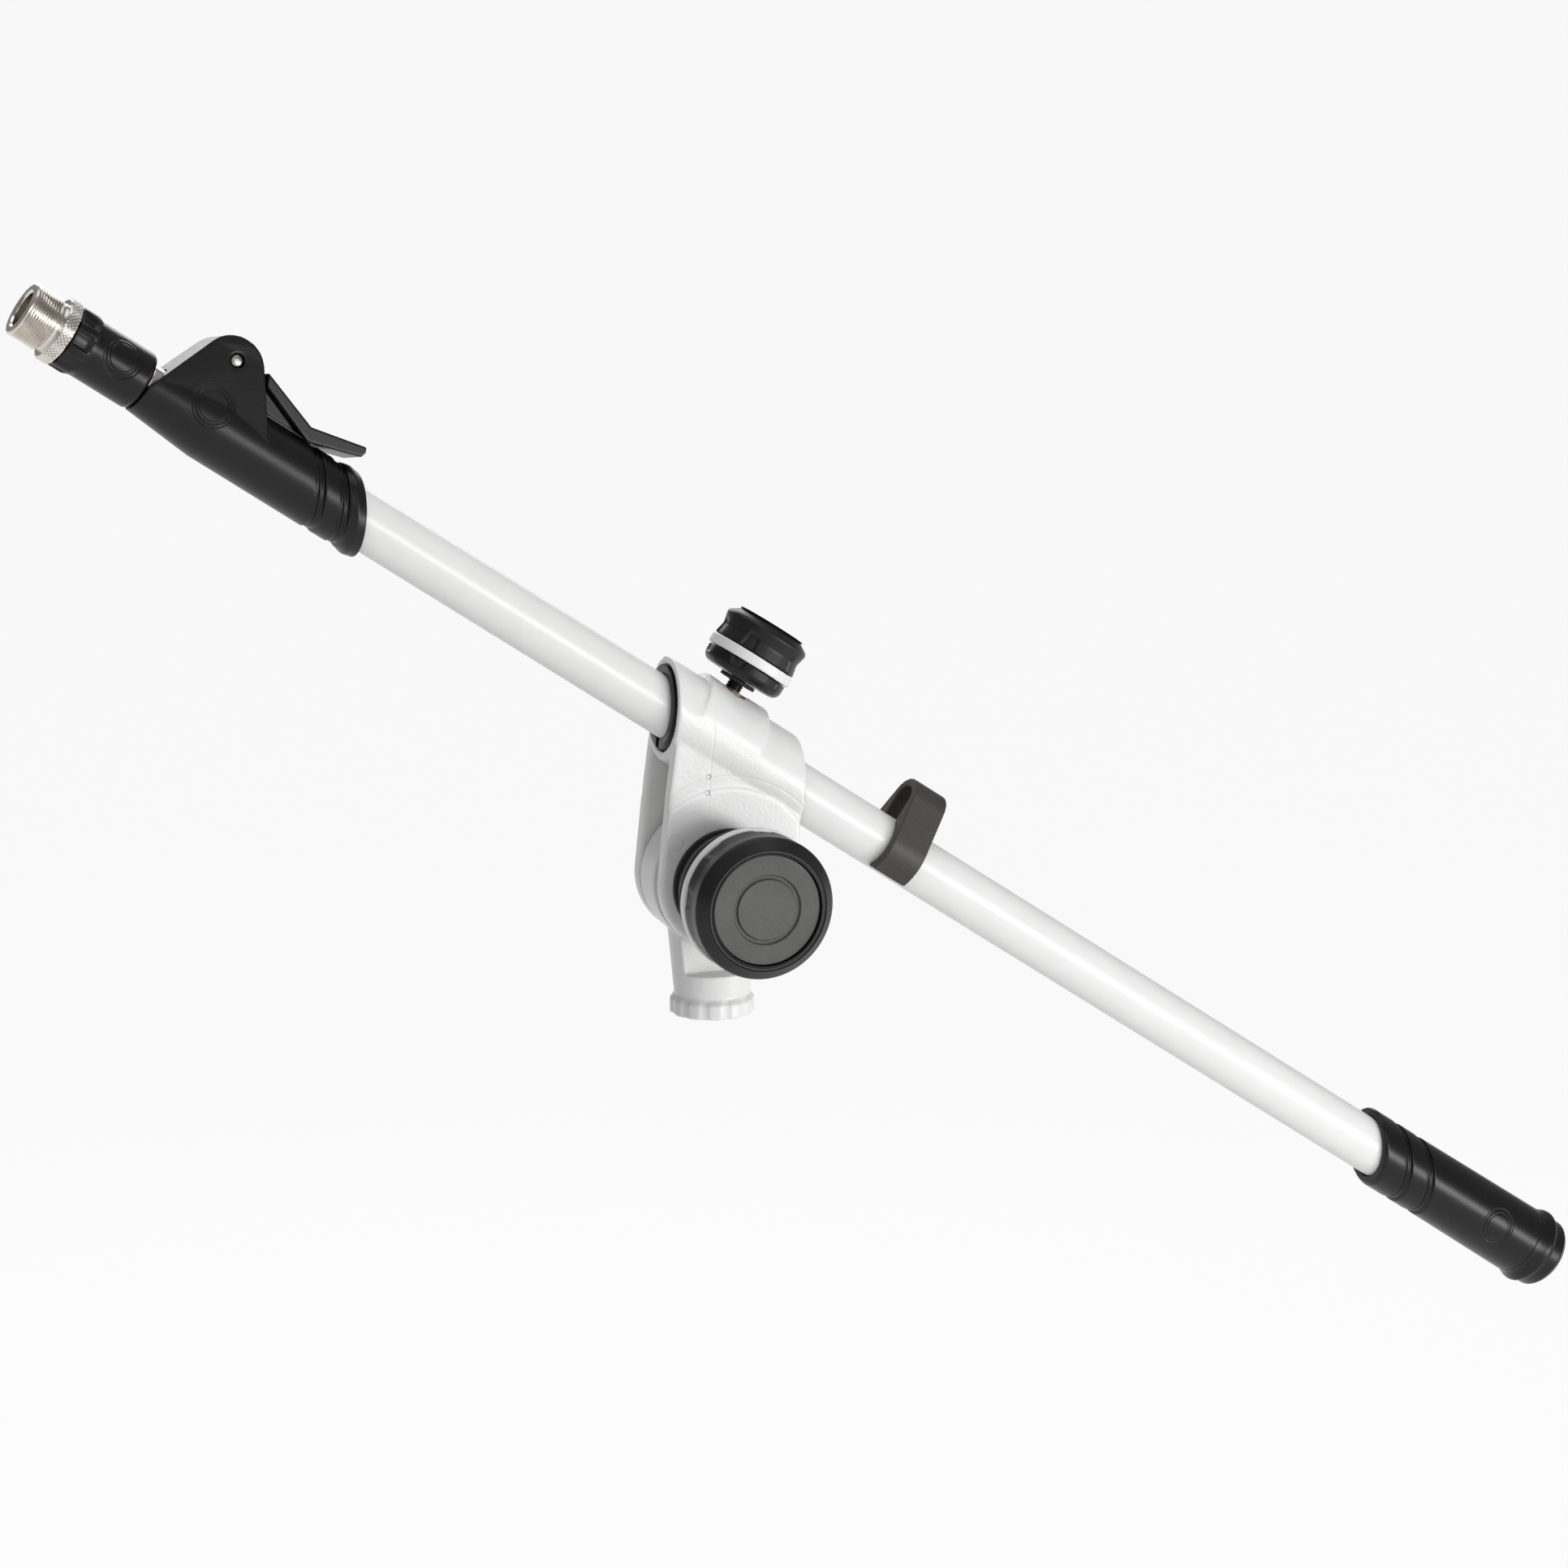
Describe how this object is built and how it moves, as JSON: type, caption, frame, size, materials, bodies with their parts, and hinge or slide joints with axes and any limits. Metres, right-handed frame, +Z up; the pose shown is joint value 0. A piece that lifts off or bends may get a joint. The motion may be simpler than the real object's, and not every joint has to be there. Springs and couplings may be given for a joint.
{
  "type": "microphone boom arm",
  "caption": "Small tilting boom arm for a microphone stand, with a clamp head, sliding tube, counterweight grip and quick-release threaded tip.",
  "frame": {"origin": "centre of the collar's open end, where the stand's thread enters", "axes": "+Z up along the stand's axis, boom in the XZ plane with the microphone's end towards -X, large pivot knob towards -Y"},
  "size_m": [0.4794, 0.0642, 0.3311],
  "materials": {
    "white_paint": "satin powder coat",
    "black_plastic": "satin moulded",
    "dark_rubber": "matte",
    "grey_face": "grained",
    "clip_plastic": "satin",
    "nickel": "bright nickel plated",
    "steel": "machined",
    "dark_steel": "blackened",
    "brass": "machined",
    "fibre": "matte"
  },
  "bodies": {
    "post": {"swivel_post": "white_paint", "stand_insert": "brass"},
    "head": {"clamp_head": "white_paint", "clamp_liner": "black_plastic", "friction_disc_near": "fibre", "friction_disc_far": "fibre", "pivot_bolt": "steel", "clamp_insert": "brass"},
    "pivot_carrier": {"pivot_washer": "fibre"},
    "pivot_knob": {"pivot_knob_core": "white_paint", "pivot_knob_insert": "brass", "pivot_knob_skirt": "black_plastic", "pivot_knob_rubber": "dark_rubber", "pivot_knob_disc": "grey_face"},
    "clamp_carrier": {"clamp_washer": "fibre"},
    "clamp_knob": {"clamp_knob_core": "white_paint", "clamp_knob_skirt": "black_plastic", "clamp_knob_rubber": "dark_rubber", "clamp_knob_disc": "grey_face", "clamp_screw": "dark_steel"},
    "sleeve": {"tube_sleeve": "fibre"},
    "boom": {"boom_tube": "white_paint", "qr_housing": "black_plastic", "qr_pin": "steel", "counter_grip": "black_plastic", "counter_cap": "black_plastic"},
    "lever": {"qr_lever": "black_plastic"},
    "adapter": {"adapter_stem": "nickel", "adapter_cap": "black_plastic"},
    "thread": {"thread_adapter": "nickel"},
    "clip": {"cable_clip": "clip_plastic"}
  },
  "joints": [
    {"name": "head_tilt", "type": "hinge", "parent": "post", "child": "head", "pos_m": [0, 0, 0.0403], "axis": [0, 1, 0], "range_deg": [-124, 56]},
    {"name": "pivot_knob_travel", "type": "slide", "parent": "head", "child": "pivot_carrier", "axis": [0, -1, 0], "range_m": [0, 0.00125]},
    {"name": "pivot_knob_turn", "type": "hinge", "parent": "pivot_carrier", "child": "pivot_knob", "pos_m": [0, 0, 0.0403], "axis": [0, -1, 0], "range_deg": [0, 360]},
    {"name": "clamp_knob_travel", "type": "slide", "parent": "head", "child": "clamp_carrier", "axis": [0.5592, 0, 0.829], "range_m": [-0.0016, 0.0016]},
    {"name": "clamp_knob_turn", "type": "hinge", "parent": "clamp_carrier", "child": "clamp_knob", "pos_m": [-0.00169, 0, 0.08161], "axis": [0.5592, 0, 0.829], "range_deg": [-720, 720]},
    {"name": "boom_roll", "type": "hinge", "parent": "head", "child": "sleeve", "pos_m": [0.01862, 0, 0.06791], "axis": [0.829, 0, -0.5592], "range_deg": [-180, 180]},
    {"name": "boom_slide", "type": "slide", "parent": "sleeve", "child": "boom", "axis": [0.829, 0, -0.5592], "range_m": [-0.015, 0.09]},
    {"name": "lever_lift", "type": "hinge", "parent": "boom", "child": "lever", "pos_m": [-0.13679, 0.00317, 0.19337], "axis": [0.1019, -0.9833, 0.1511], "range_deg": [0, 75]},
    {"name": "adapter_pull", "type": "slide", "parent": "boom", "child": "adapter", "axis": [-0.829, 0, 0.5592], "range_m": [0, 0.024]},
    {"name": "thread_turn", "type": "hinge", "parent": "adapter", "child": "thread", "pos_m": [-0.18864, 0, 0.20771], "axis": [0.829, 0, -0.5592], "range_deg": [-90, 0]},
    {"name": "clip_slide", "type": "slide", "parent": "boom", "child": "clip", "axis": [0.829, 0, -0.5592], "range_m": [-0.005, 0.165]}
  ],
  "couplings": [
    {"joint": "pivot_knob_turn", "follows": "pivot_knob_travel", "rad_per_m": 5026.5},
    {"joint": "clamp_knob_turn", "follows": "clamp_knob_travel", "rad_per_m": 7854}
  ]
}
